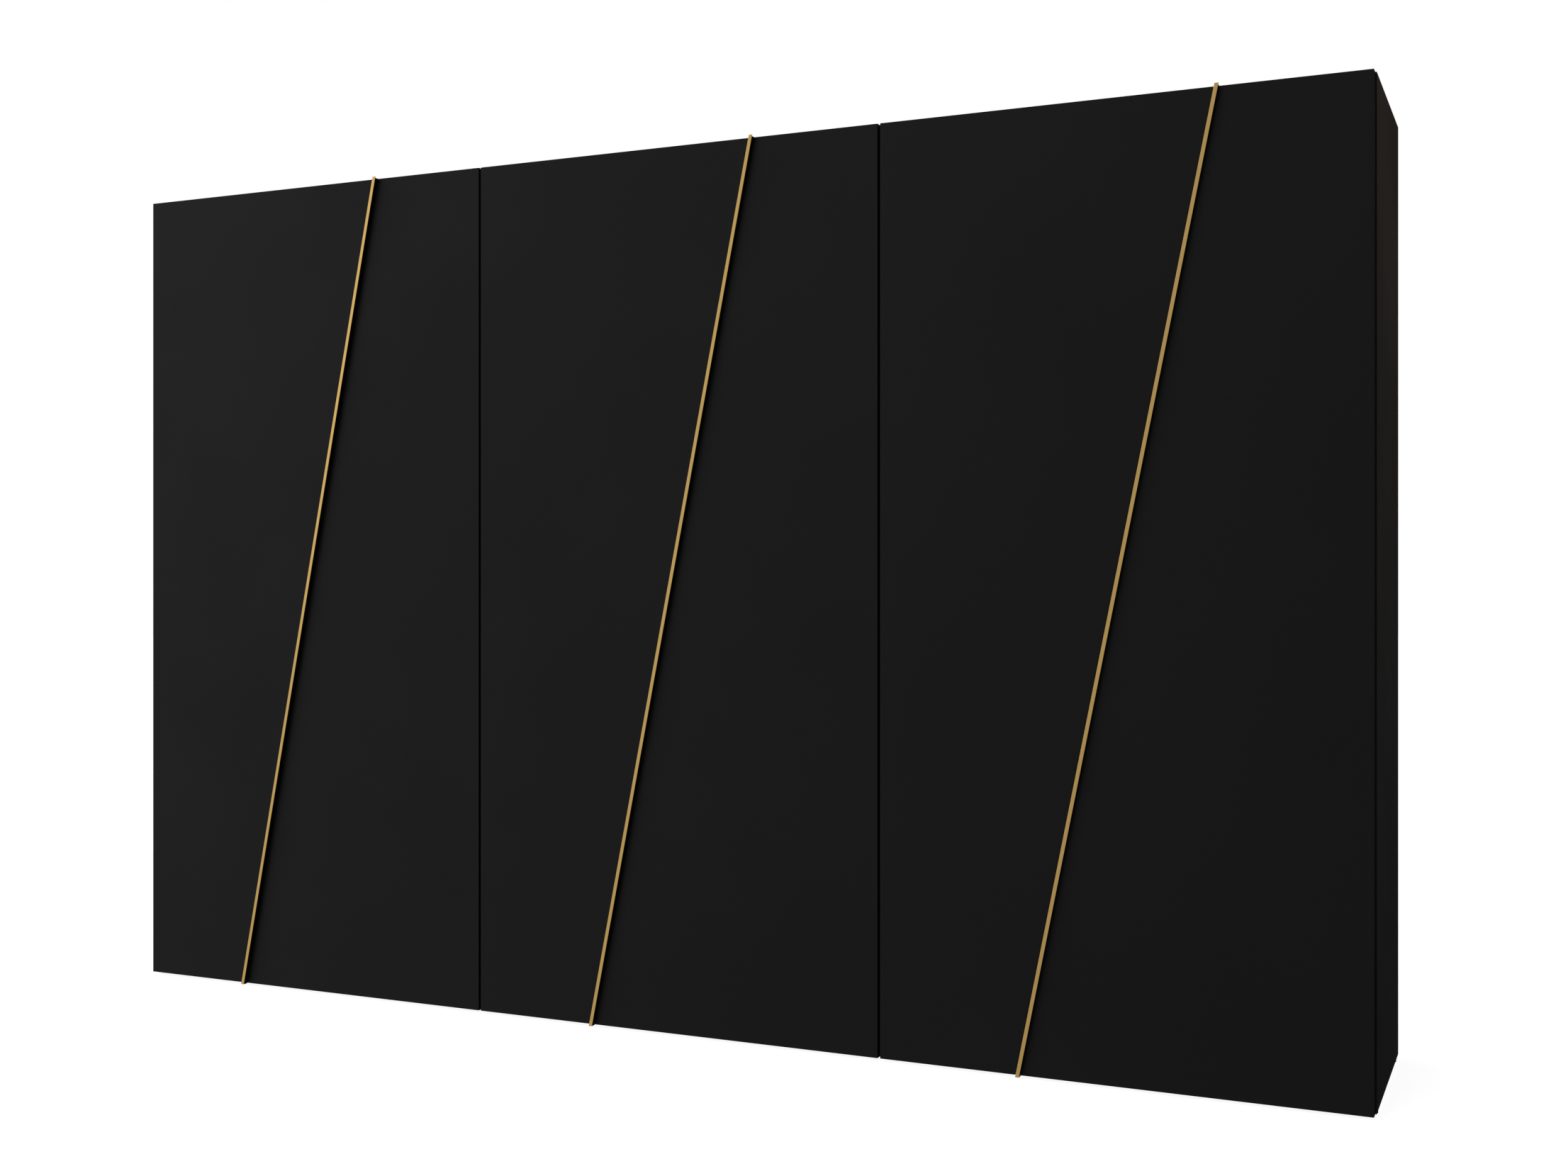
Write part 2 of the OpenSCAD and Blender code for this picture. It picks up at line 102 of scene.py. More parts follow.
# Heads of screws, cams and bolts: radius, height, dome and radius of the shank
BOARD_SCREW = (3.5 * MM, 2 * MM, 0.9 * MM, 2 * MM)
STRIP_SCREW = (3 * MM, 1.9 * MM, 0.3 * MM, 1.6 * MM)
CUP_SCREW = (3.4 * MM, 1.1 * MM, 0.5 * MM, 1.8 * MM)
ARM_SCREW = (2.6 * MM, 1 * MM, 0.4 * MM, 1.5 * MM)
CAM = (7.5 * MM, 12.5 * MM, 0.2 * MM, 6 * MM)
JOINING_BOLT = (7.5 * MM, 2 * MM, 0.7 * MM, 4 * MM)
SMALL_SHANK = 3 * MM
CUP_SCREW_RISE = 24 * MM
CUP_SCREW_OUT = 1.1 * MM
ARM_SCREW_GAP = 18 * MM
ARM_SCREW_SUNK = 1 * MM

# Small fittings: rounding of the edges, shortest edge that is rounded, and steps of the rounding
FITTINGS = {
    "rail_sockets": (0.5 * MM, 1.2 * MM, 3),
    "wall_brackets": (0.4 * MM, 1.2 * MM, 3),
    "shelf_pins": (0.7 * MM, 0, 3),
    "glides": (1.0 * MM, 1.2 * MM, 3),
    "bumpers": (1.6 * MM, 0, 5),
}
PIN_EDGE = 0.3 * MM
CAM_BOLT_EDGE = 0.5 * MM

# Lights: place, target and size, in metres
KEY_LIGHT = ((-4.6, -4.2, 2.7), (-0.4, 0.0, 1.1), (2.6, 3.2))
TOP_LIGHT = ((-0.4, -3.2, 4.3), (0.0, 0.0, 0.7), (3.4, 2.2))
WHITE = (1, 1, 1, 1)


def nodes_named(*starts):
    """Every CAD node whose name starts with one of the given words, in order."""
    found = [name for name in sorted(NODES) if name.startswith(starts)]
    if not found:
        raise RuntimeError(f"no CAD node is named {starts}")
    return found


# ---------------------------------------------------------------------------------------------
# Shader maths


class Signal:
    """A shader socket whose arithmetic adds Math nodes to its tree."""

    def __init__(self, nodes, socket):
        self.nodes = nodes
        self.socket = socket

    def math(self, operation, *values):
        """Adds a Math node that takes the given values."""
        sockets = dict(enumerate(values))
        return self.nodes.signal("ShaderNodeMath", {"operation": operation}, sockets)

    def __add__(self, other):
        return self.math("ADD", self, other)

    def __radd__(self, other):
        return self.math("ADD", other, self)

    def __sub__(self, other):
        return self.math("SUBTRACT", self, other)

    def __rsub__(self, other):
        return self.math("SUBTRACT", other, self)

    def __mul__(self, other):
        return self.math("MULTIPLY", self, other)

    def __rmul__(self, other):
        return self.math("MULTIPLY", other, self)

    def __abs__(self):
        return self.math("ABSOLUTE", self)

    def larger(self, other):
        """The larger of this value and another."""
        return self.math("MAXIMUM", self, other)

    def ramp(self, low, high, to_low=0.0, to_high=1.0):
        """This value taken smoothly from low..high to to_low..to_high."""
        return self.nodes.signal(
            "ShaderNodeMapRange",
            {"interpolation_type": "SMOOTHSTEP"},
            {"Value": self, "From Min": low, "From Max": high, "To Min": to_low, "To Max": to_high},
            "Result",
        )


class Nodes:
    """A node tree, and the one way that nodes are added to it."""

    def __init__(self, tree):
        self.tree = tree

    def feed(self, socket, value):
        """Sets a socket to a number or colour, or links a signal to it."""
        if isinstance(value, Signal):
            self.tree.links.new(value.socket, socket)
        else:
            socket.default_value = value

    def node(self, kind, settings=None, sockets=None):
        """Adds a node of a type, with its settings, then its sockets' values or links."""
        node = self.tree.nodes.new(kind)
        for key, value in (settings or {}).items():
            setattr(node, key, value)
        for key, value in (sockets or {}).items():
            self.feed(node.inputs[key], value)
        return node

    def signal(self, kind, settings=None, sockets=None, output=0):
        """Adds a node and returns one of its outputs."""
        return Signal(self, self.node(kind, settings, sockets).outputs[output])

    def mix(self, amount, first, second):
        """A colour from first to second as amount goes from 0 to 1."""
        sockets = {0: amount, 6: first, 7: second}
        return self.signal("ShaderNodeMix", {"data_type": "RGBA"}, sockets, 2)


class Finish(Nodes):
    """A material with one Principled shader, and the patterns that vary it."""

    def __init__(self, name, rough=0.5, metal=0.0, specular=0.5):
        self.material = bpy.data.materials.new(name)
        self.material.use_nodes = True
        super().__init__(self.material.node_tree)
        self.shader = self.tree.nodes["Principled BSDF"]
        self.set("Roughness", rough)
        self.set("Metallic", metal)
        self.set("Specular IOR Level", specular)

    def set(self, socket, value):
        """Feeds a socket of the shader."""
        self.feed(self.shader.inputs[socket], value)

    def place(self, scale=(1, 1, 1), turn=(0, 0, 0)):
        """Object coordinates in metres, turned and then stretched."""
        here = self.signal("ShaderNodeTexCoord", output="Object")
        turned = self.signal("ShaderNodeMapping", sockets={"Vector": here, "Rotation": turn})
        return self.signal("ShaderNodeMapping", sockets={"Vector": turned, "Scale": scale})

    def axis(self, letter):
        """One of the object coordinates on its own, in metres."""
        return self.signal("ShaderNodeSeparateXYZ", sockets={0: self.place()}, output=letter)

    def noise(self, where, scale, detail=2.0, rough=0.5):
        """Cloudy pattern from 0 to 1."""
        sockets = {"Vector": where, "Scale": scale, "Detail": detail, "Roughness": rough}
        return self.signal("ShaderNodeTexNoise", sockets=sockets)

    def cells(self, where, scale):
        """Distance to the nearest of many scattered points."""
        return self.signal("ShaderNodeTexVoronoi", sockets={"Vector": where, "Scale": scale})

    def bump(self, height, depth, strength=1.0, under=None):
        """A normal for a relief of the given depth in metres."""
        sockets = {"Height": height, "Distance": depth, "Strength": strength}
        if under:
            sockets["Normal"] = under
        return self.signal("ShaderNodeBump", sockets=sockets)


def shade(colour, amount):
    """A colour made lighter or darker, as four numbers."""
    return tuple(min(1.0, part * amount) for part in colour[:3]) + (1.0,)


class BoardFinish(Finish):
    """Boards and leaves: matt black lacquer outside, linen laminate where it isn't black."""

    def __init__(self, name, look, black, outside=None):
        super().__init__(name, specular=look.sheen)
        outside = outside or look.black
        where = self.place()
        patches = self.noise(where, 2.3, 3.0)
        grain = self.noise(where, 1900.0, 3.0, 0.7)
        fleck = grain.ramp(0.35, 0.68)
        ripple = self.noise(where, 95.0, 2.0)
        pigment = fleck * 0.7 + patches * 0.3
        lacquer = self.mix(pigment, shade(outside, 0.7), shade(outside, 1.35))
        rough = look.matt + 0.05 * patches.ramp(0.35, 0.65) + 0.05 * fleck
        relief = ripple * 0.04 + grain * 0.03
        mask = black(self)
        if mask is not None:
            linen, weave = self.linen(look, patches)
            lacquer = self.mix(mask, linen, lacquer)
            rough = rough * mask + (0.62 + 0.06 * patches) * (1 - mask)
            relief = relief * mask + weave * 0.07 * (1 - mask)
        self.set("Base Color", lacquer)
        self.set("Roughness", rough)
        self.set("Normal", self.bump(relief, 1 * MM, 0.6))

    def linen(self, look, patches):
        """Colour of a fine linen print, upright and level threads crossing, and its pressed relief."""
        upright = self.noise(self.place((2100, 2100, 90)), 1.0, 1.0)
        level = self.noise(self.place((90, 90, 2100)), 1.0, 1.0)
        slub = self.noise(self.place((300, 300, 22)), 1.0, 2.0)
        weave = (upright + level) * 0.5
        tone = weave.ramp(0.4, 0.6) * 0.5 + slub.ramp(0.35, 0.65) * 0.3 + patches * 0.2
        return self.mix(tone, shade(look.linen, 0.76), shade(look.linen, 1.24)), weave


def below(place, level):
    """1 where a coordinate is below a level, and 0 above it."""
    return place.ramp(level, level + BLEND, 1.0, 0.0)


def above(place, level):
    """1 where a coordinate is above a level, and 0 below it."""
    return place.ramp(level - BLEND, level)


def all_black(finish):
    """No linen anywhere."""
    return None


def leaf_black(finish):
    """Black but for the leaf's back."""
    return below(finish.axis("Y"), LEAF_HIGH.y - SKIN)


def shelf_black(finish):
    """Black on the band of the front edge."""
    return below(finish.axis("Y"), SHELF_FRONT + BAND)


def carcass_black(finish):
    """Black on the front and rear edges, the top, and the faces outside and between the sections."""
    x, y, z = (finish.axis(letter) for letter in "XYZ")
    black = below(y, SIDE_LOW.y + BAND)
    black = black.larger(above(y, SIDE_HIGH.y - SKIN))
    black = black.larger(above(z, SIDE_HIGH.z - SKIN))
    across = abs(x)
    for line in SECTION_LINES:
        black = black.larger(below(abs(across - line), SKIN))
    return black


def back_black(finish):
    """No linen on the face towards the wall, which is plain hardboard."""
    return above(finish.axis("Y"), BACK_REAR - SKIN)


def gilt_finish(look):
    """Satin gold face, brushed along the strip."""
    finish = Finish("brushed_gilt", metal=1.0)
    turn = (0, SLANT, 0)
    lines = finish.noise(finish.place((5200, 900, 9), turn), 1.0, 2.0, 0.6)
    hairs = finish.noise(finish.place((14000, 900, 30), turn), 1.0, 1.0)
    patches = finish.noise(finish.place(), 6.0, 2.0)
    brushed = lines * 0.6 + hairs * 0.4
    deep, bright = shade(look.gold, 0.86), shade(look.gold, 1.1)
    finish.set("Base Color", finish.mix(brushed.ramp(0.35, 0.65) * 0.8 + patches * 0.2, deep, bright))
    finish.set("Roughness", look.gold_rough + 0.12 * brushed.ramp(0.3, 0.7) + 0.04 * patches)
    finish.set("Normal", finish.bump(brushed, 0.02 * MM, 0.35))
    return finish


def steel_finish(name, colour, rough, metal=1.0):
    """Plated pressed steel: a faint orange peel and cloudy plating."""
    finish = Finish(name, metal=metal)
    peel = finish.noise(finish.place(), 700.0, 3.0)
    clouds = finish.noise(finish.place(), 55.0, 3.0)
    tone = clouds.ramp(0.3, 0.7)
    finish.set("Base Color", finish.mix(tone, shade(colour, 0.88), shade(colour, 1.08)))
    finish.set("Roughness", rough + 0.1 * clouds + 0.05 * peel)
    finish.set("Normal", finish.bump(peel, 0.02 * MM, 0.3))
    return finish


def rail_finish(colour):
    """Chromed tube, drawn along its length."""
    finish = Finish("drawn_chrome", metal=1.0)
    drawn = finish.noise(finish.place((14, 2600, 2600)), 1.0, 2.0)
    breath = finish.noise(finish.place(), 18.0, 3.0)
    finish.set("Base Color", finish.mix(breath, shade(colour, 0.91), shade(colour, 1.09)))
    finish.set("Roughness", 0.09 + 0.1 * drawn.ramp(0.4, 0.7) + 0.06 * breath)
    finish.set("Normal", finish.bump(drawn, 0.01 * MM, 0.2))
    return finish


def moulded_finish(name, colour, rough):
    """Moulded plastic or rubber with a fine spark texture."""
    finish = Finish(name)
    spark = finish.cells(finish.place(), 2400.0)
    flow = finish.noise(finish.place(), 40.0, 2.0)
    finish.set("Base Color", finish.mix(flow, shade(colour, 0.85), shade(colour, 1.15)))
    finish.set("Roughness", rough + 0.12 * flow)
    finish.set("Normal", finish.bump(spark, 0.03 * MM, 0.4))
    return finish


def floor_finish(look):
    """Pale, even studio floor that glows a little, with a very faint grain."""
    finish = Finish("studio_floor", specular=0.0)
    grain = finish.noise(finish.place(), 60.0, 3.0)
    finish.set("Base Color", finish.mix(grain, shade(look.floor, 0.985), shade(look.floor, 1.0)))
    finish.set("Roughness", 0.85 + 0.1 * grain)
    finish.set("Emission Color", WHITE)
    finish.set("Emission Strength", look.floor_glow)
    return finish


# How each finish is made, and the materials made so far
FINISH_MAKERS = {
    "leaf_lacquer": lambda look: BoardFinish("leaf_board", look, leaf_black),
    "carcass_board": lambda look: BoardFinish("carcass_board_inside_out", look, carcass_black),
    "shelf_board": lambda look: BoardFinish("shelf_board", look, shelf_black),
    "back_board": lambda look: BoardFinish("back_panel", look, back_black, look.hardboard),
    "black_lacquer": lambda look: BoardFinish("black_lacquer", look, all_black),
    "gilt_strip": gilt_finish,
    "steel": lambda look: steel_finish("plated_steel", look.steel, 0.24, 0.5),
    "cam_zinc": lambda look: steel_finish("cast_zinc", look.zinc, 0.42),
    "rail_chrome": lambda look: rail_finish(look.chrome),
    "grey_plastic": lambda look: moulded_finish("dark_plastic", look.plastic, 0.45),
    "clear_rubber": lambda look: moulded_finish("pale_rubber", look.rubber, 0.3),
    "studio_floor": floor_finish,
}
FINISHES = {}


def finish_for(name):
    """The material of a finish, made once."""
    if name not in FINISHES:
        FINISHES[name] = FINISH_MAKERS[name](bpy.context.scene.wardrobe_look).material
    return FINISHES[name]


# ---------------------------------------------------------------------------------------------
# Mesh helpers


def make_piece(name, mesh, finish):
    """Turns a bmesh into an object with one finish, its hard edges kept and its curves smooth."""
    for face in mesh.faces:
        face.smooth = True
    for edge in mesh.edges:
        edge.smooth = len(edge.link_faces) == 2 and edge.calc_face_angle(0) < HARD
    data = bpy.data.meshes.new(name)
    mesh.to_mesh(data)
    mesh.free()
    data.materials.append(finish_for(finish))
    piece = bpy.data.objects.new(name, data)
    bpy.context.scene.collection.objects.link(piece)
    normals = piece.modifiers.new("Flat faces stay flat", "WEIGHTED_NORMAL")
    normals.keep_sharp = True
    return piece


def stand_for(piece, node):
    """The piece takes the place of a CAD node, on its body."""
    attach(piece, BODY_OF[node])
    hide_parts(node)


def merged(node):
    """A copy of a node's mesh with its triangles welded and its flat faces whole."""
    mesh = bmesh.new()
    mesh.from_mesh(NODES[node].data)
    bmesh.ops.remove_doubles(mesh, verts=mesh.verts, dist=WELD)
    bmesh.ops.dissolve_limit(mesh, angle_limit=FLAT, verts=mesh.verts, edges=mesh.edges)
    return mesh


def ease_edges(mesh, width, shortest, segments):
    """Rounds the sharp edges that are longer than the given length."""
    edges = [edge for edge in mesh.edges if len(edge.link_faces) == 2
             and edge.calc_face_angle(0) > HARD and edge.calc_length() > shortest]
    bmesh.ops.bevel(
        mesh, geom=edges, offset=width, offset_type="OFFSET", segments=segments, profile=0.5,
        affect="EDGES", material=-1, clamp_overlap=False)


def eased(node, width, finish=None, shortest=6 * MM, segments=3):
    """Stands for a node, with its longer sharp edges rounded to the given width."""
    mesh = merged(node)
    ease_edges(mesh, width, shortest, segments)
    piece = make_piece(node + "_eased", mesh, finish or SLOT_OF[node])
    stand_for(piece, node)
    return piece


def corners(points):
    """Lowest and highest corners of some points."""
    low = Vector([min(point[i] for point in points) for i in range(3)])
    high = Vector([max(point[i] for point in points) for i in range(3)])
    return low, high


def solids_of(node):
    """The places of the vertices of each separate solid of a node."""
    mesh = merged(node)
    left = set(mesh.verts)
    solids = []
    for start in mesh.verts:
        if start not in left:
            continue
        left.remove(start)
        grown = [start]
        for vert in grown:
            for edge in vert.link_edges:
                other = edge.other_vert(vert)
                if other in left:
                    left.remove(other)
                    grown.append(other)
        solids.append([vert.co.copy() for vert in grown])
    mesh.free()
    return solids


def head_place(points, upward=False):
    """A frame on the head of a turned solid, whose Z points out of the head; and its length."""
    low, high = corners(points)
    size, middle = high - low, (low + high) / 2
    letter = max(range(3), key=lambda i: size[i])
    across = [Vector([0 if i == letter else (point - middle)[i] for i in range(3)]) for point in points]
    widest = max(offset.length for offset in across)
    heads = [point[letter] for point, offset in zip(points, across) if offset.length > 0.95 * widest]
    out = 1 if sum(heads) / len(heads) > middle[letter] else -1
    if upward:
        out = 1 if middle.z > CAD_HIGH.z / 2 else -1
    axis = Vector([out if i == letter else 0 for i in range(3)])
    turn = Vector((0, 0, 1)).rotation_difference(axis).to_matrix().to_4x4()
    return Matrix.Translation(middle + axis * size[letter] / 2) @ turn, size[letter]


def recessed_head(head, length):
    """A round head with a cross recess, facing up from z = 0, and its shank below."""
    radius, height, dome, shank_radius = head
    slot, reach, field = 0.16 * radius, 0.5 * radius, 0.62 * radius
    depth = min(0.55 * height + dome, 0.45 * radius)
    mesh = bmesh.new()
    bmesh.ops.create_grid(mesh, x_segments=5, y_segments=5, size=1.0)
    for vert in mesh.verts:
        for i in range(2):
            level = abs(vert.co[i])
            far = slot if level < 0.4 else reach if level < 0.8 else field
            vert.co[i] = math.copysign(far, vert.co[i])
    border = [edge for edge in mesh.edges if edge.is_boundary]
    bmesh.ops.create_circle(mesh, segments=20, radius=radius)
    rim = [edge for edge in mesh.edges if edge.is_wire]
    bmesh.ops.bridge_loops(mesh, edges=border + rim)
    cross = []
    for face in mesh.faces:
        x, y = (abs(value) for value in face.calc_center_median()[:2])
        if max(x, y) < reach and min(x, y) < slot:
            cross.append(face)
    sunk = bmesh.ops.extrude_face_region(mesh, geom=cross)
    sunk = [item for item in sunk["geom"] if isinstance(item, bmesh.types.BMVert)]
    bmesh.ops.scale(mesh, vec=(0.72, 0.72, 1), verts=sunk)
    for vert in mesh.verts:
        vert.co.z = -dome * (vert.co.xy.length / radius) ** 2
    bmesh.ops.translate(mesh, vec=(0, 0, -depth), verts=sunk)
    low = [edge for edge in mesh.edges if edge.is_boundary]
    for ring_radius, level in ((radius, -height), (shank_radius, -height), (shank_radius, -length)):
        grown = bmesh.ops.extrude_edge_only(mesh, edges=low)["geom"]
        low = [item for item in grown if isinstance(item, bmesh.types.BMEdge)]
        for vert in {vert for edge in low for vert in edge.verts}:
            vert.co.xy = vert.co.xy.normalized() * ring_radius
            vert.co.z = level
    bmesh.ops.holes_fill(mesh, edges=low, sides=0)
    bmesh.ops.recalc_face_normals(mesh, faces=mesh.faces)
    return mesh


def copies(template, places):
    """One bmesh with a copy of the template at every place."""
    if not places:
        raise RuntimeError("there is no place for a screw")
    data = bpy.data.meshes.new("template")
    template.to_mesh(data)
    template.free()
    mesh = bmesh.new()
    for place in places:
        mesh.from_mesh(data)
        mesh.verts.ensure_lookup_table()
        bmesh.ops.transform(mesh, matrix=place, verts=mesh.verts[-len(data.vertices):])
    bpy.data.meshes.remove(data)
    return mesh


def fasteners(node, head, finish=None, upward=False):
    """Stands for a node of equal screws, with a cross recess in every head."""
    found = [head_place(points, upward) for points in solids_of(node)]
    mesh = copies(recessed_head(head, found[0][1]), [place for place, length in found])
    piece = make_piece(node + "_headed", mesh, finish or SLOT_OF[node])
    stand_for(piece, node)


# ---------------------------------------------------------------------------------------------
# Settings


class WardrobeLook(bpy.types.PropertyGroup):
    """Colours and finishes."""

    black: FloatVectorProperty(
        name="Lacquer", description="Colour of the leaves", subtype="COLOR", size=3,
        default=(0.0034, 0.0031, 0.0032), min=0.0, max=1.0)
    linen: FloatVectorProperty(
        name="Linen", description="Colour of the linen laminate inside", subtype="COLOR", size=3,
        default=(0.33, 0.30, 0.262), min=0.0, max=1.0)
    hardboard: FloatVectorProperty(
        name="Hardboard", description="Colour of the backs towards the wall", subtype="COLOR", size=3,
        default=(0.060, 0.047, 0.036), min=0.0, max=1.0)
    gold: FloatVectorProperty(
        name="Gilt", description="Colour of the strips' faces", subtype="COLOR", size=3,
        default=(0.84, 0.552, 0.187), min=0.0, max=1.0)
    steel: FloatVectorProperty(
        name="Steel", description="Colour of the hinges' and brackets' plating", subtype="COLOR", size=3,
        default=(0.84, 0.83, 0.81), min=0.0, max=1.0)
    zinc: FloatVectorProperty(
        name="Zinc", description="Colour of the cast cams and their bolts", subtype="COLOR", size=3,
        default=(0.34, 0.34, 0.35), min=0.0, max=1.0)
    chrome: FloatVectorProperty(
        name="Chrome", description="Colour of the hanging rails", subtype="COLOR", size=3,
        default=(0.68, 0.68, 0.70), min=0.0, max=1.0)
    plastic: FloatVectorProperty(
        name="Plastic", description="Colour of the glides", subtype="COLOR", size=3,
        default=(0.035, 0.035, 0.037), min=0.0, max=1.0)
    rubber: FloatVectorProperty(
        name="Rubber", description="Colour of the soft stops", subtype="COLOR", size=3,
        default=(0.5, 0.51, 0.52), min=0.0, max=1.0)
    floor: FloatVectorProperty(
        name="Floor", description="Colour of the floor", subtype="COLOR", size=3,
        default=(0.4, 0.4, 0.4), min=0.0, max=1.0)
    floor_glow: FloatProperty(
        name="Floor glow", description="Light given off by the floor", default=0.92, min=0.0)
    sheen: FloatProperty(
        name="Sheen", description="Strength of the black surfaces' reflections", default=0.24,
        min=0.0, max=1.0, subtype="FACTOR")
    matt: FloatProperty(
        name="Matt", description="Roughness of the lacquer", default=0.5, min=0.0, max=1.0,
        subtype="FACTOR")
    gold_rough: FloatProperty(
        name="Gilt roughness", description="Roughness of the strips' faces", default=0.28,
        min=0.0, max=1.0, subtype="FACTOR")


class WardrobeSizes(bpy.types.PropertyGroup):
    """Small sizes that only the looks need."""

    leaf_edge: FloatProperty(
        name="Leaf edges", description="Rounding of the leaves' edges", default=0.8 * MM,
        min=0.1 * MM, max=3 * MM, unit="LENGTH")
    board_edge: FloatProperty(
        name="Board edges", description="Rounding of the boards' edges", default=0.5 * MM,
        min=0.1 * MM, max=2 * MM, unit="LENGTH")
    strip_edge: FloatProperty(
        name="Strip edges", description="Rounding of the strips' edges", default=0.35 * MM,
        min=0.05 * MM, max=0.7 * MM, unit="LENGTH")
    metal_edge: FloatProperty(
        name="Metal edges", description="Rounding of the pressed metal", default=0.25 * MM,
        min=0.05 * MM, max=0.5 * MM, unit="LENGTH")


class WardrobeStage(bpy.types.PropertyGroup):
    """Floor, lights and camera."""

    floor_radius: FloatProperty(
        name="Floor radius", description="Radius of the floor", default=30.0, min=5.0, unit="LENGTH")
    camera_aside: FloatProperty(
        name="Camera aside", description="Camera's distance to the right of the right side",
        default=0.3686, unit="LENGTH")
    camera_away: FloatProperty(
        name="Camera away", description="Camera's distance in front of the leaves",
        default=3.8486, unit="LENGTH")
    camera_height: FloatProperty(
        name="Camera height", description="Camera's height above the floor", default=1.1474,
        unit="LENGTH")
    camera_azimuth: FloatProperty(
        name="Camera azimuth", description="Camera's turn to the left of straight ahead",
        default=math.radians(23.9), subtype="ANGLE")
    lens: FloatProperty(
        name="Lens", description="Focal length in millimetres", default=40.333, min=10.0, max=200.0,
        unit="CAMERA")
    sensor: FloatProperty(
        name="Sensor", description="Width of the camera's sensor in millimetres", default=36.0,
        min=1.0, unit="CAMERA")
    shift_x: FloatProperty(name="Shift across", description="Camera's shift across", default=-0.0040)
    shift_y: FloatProperty(name="Shift up", description="Camera's shift up", default=-0.00993)
    key_power: FloatProperty(
        name="Key light", description="Power of the soft light on the left, in watts", default=8.0,
        min=0.0, unit="POWER")
    top_power: FloatProperty(
        name="Top light", description="Power of the soft light above, in watts", default=90.0,
        min=0.0, unit="POWER")
    light_left: FloatProperty(
        name="Light from the left", description="Brightness of the surround on the left", default=0.73,
        min=0.0)
    light_right: FloatProperty(
        name="Light from the right", description="Brightness of the surround on the right", default=0.125,
        min=0.0)
    light_behind: FloatProperty(
        name="Light from behind", description="Share of the surround's light left behind the wardrobe",
        default=0.42, min=0.0, max=1.0, subtype="FACTOR")
    warm_tint: FloatVectorProperty(
        name="Warm tint", description="Tint of the surround high up behind the wardrobe", size=3,
        default=(1.22, 0.99, 0.79), min=0.0)


# ---------------------------------------------------------------------------------------------
# Operators


class LeavesOperator(bpy.types.Operator):
    """Lacquered leaves with eased edges"""

    bl_idname = "wardrobe.leaves"
    bl_label = "Leaves"

    def execute(self, context):
        for node in nodes_named("leaf_"):
            eased(node, context.scene.wardrobe_sizes.leaf_edge)
        return {"FINISHED"}


class StripsOperator(bpy.types.Operator):
    """Black rails and brushed gilt faces along the slants"""

    bl_idname = "wardrobe.strips"
    bl_label = "Strips"

    def execute(self, context):
        width = context.scene.wardrobe_sizes.strip_edge
        for node in nodes_named("strip_rail_"):
            eased(node, width, "black_lacquer")
        for node in nodes_named("strip_face_"):
            eased(node, width)
        return {"FINISHED"}


class CarcassOperator(bpy.types.Operator):
    """Sides, tops, bottoms, rails, shelves and back panels"""

    bl_idname = "wardrobe.carcass"
    bl_label = "Carcass"

    def execute(self, context):
        width = context.scene.wardrobe_sizes.board_edge
        for node in nodes_named("side_", "top_", "bottom_", "back_"):
            eased(node, width)
        eased("plinth_rails", width, "black_lacquer")
        for node in ["hat_shelves"] + [f"shelf_{i}" for i in range(1, 5)]:
            eased(node, width, "shelf_board")
        return {"FINISHED"}


class HingesOperator(bpy.types.Operator):
    """Pressed steel cups, arms, plates and pins, with adjusting screws on the arms"""

    bl_idname = "wardrobe.hinges"
    bl_label = "Hinges"

    def execute(self, context):
        width = context.scene.wardrobe_sizes.metal_edge
        for node in nodes_named("hinge_arms", "hinge_plates", "hinge_cups_"):
            eased(node, width, shortest=0.9 * MM, segments=2)
        for node in nodes_named("hinge_pins_"):
            eased(node, PIN_EDGE, shortest=0, segments=1)
        self.adjusters()
        for node in nodes_named("hinge_cups_"):
            self.cup_screws(node)
        return {"FINISHED"}

    def cup_screws(self, node):
        """Two flat screws on the flange of every cup of a leaf."""
        places = []
        back_turn = Matrix.Rotation(-math.pi / 2, 4, "X")
        for low, high in (corners(points) for points in solids_of(node)):
            middle = (low + high) / 2
            for z in (middle.z - CUP_SCREW_RISE, middle.z + CUP_SCREW_RISE):
                places.append(Matrix.Translation((middle.x, high.y + CUP_SCREW_OUT, z)) @ back_turn)
        mesh = copies(recessed_head(CUP_SCREW, SMALL_SHANK), places)
        piece = make_piece(node.replace("hinge_cups", "cup_screws"), mesh, "steel")
        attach(piece, BODY_OF[node])

    def adjusters(self):
        """Small screws on the arms, in front of the screws that clamp them."""
        arms = [corners(points) for points in solids_of("hinge_arms")]
        heights = [(low.z + high.z) / 2 for low, high in arms]
        forward = Matrix.Translation((0, -ARM_SCREW_GAP, 0))
        sunk = Matrix.Translation((0, 0, -ARM_SCREW_SUNK))
        places = []
        for place, length in (head_place(points) for points in solids_of("screws")):
            on_arm = min(abs(place.translation.z - height) for height in heights) < 1 * MM
            points_across = abs(place.to_3x3()[0][2]) > 0.5
            if on_arm and points_across:
                places.append(forward @ place @ sunk)
        mesh = copies(recessed_head(ARM_SCREW, SMALL_SHANK), places)
        piece = make_piece("arm_adjusters", mesh, "steel")
        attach(piece, BODY_OF["hinge_arms"])


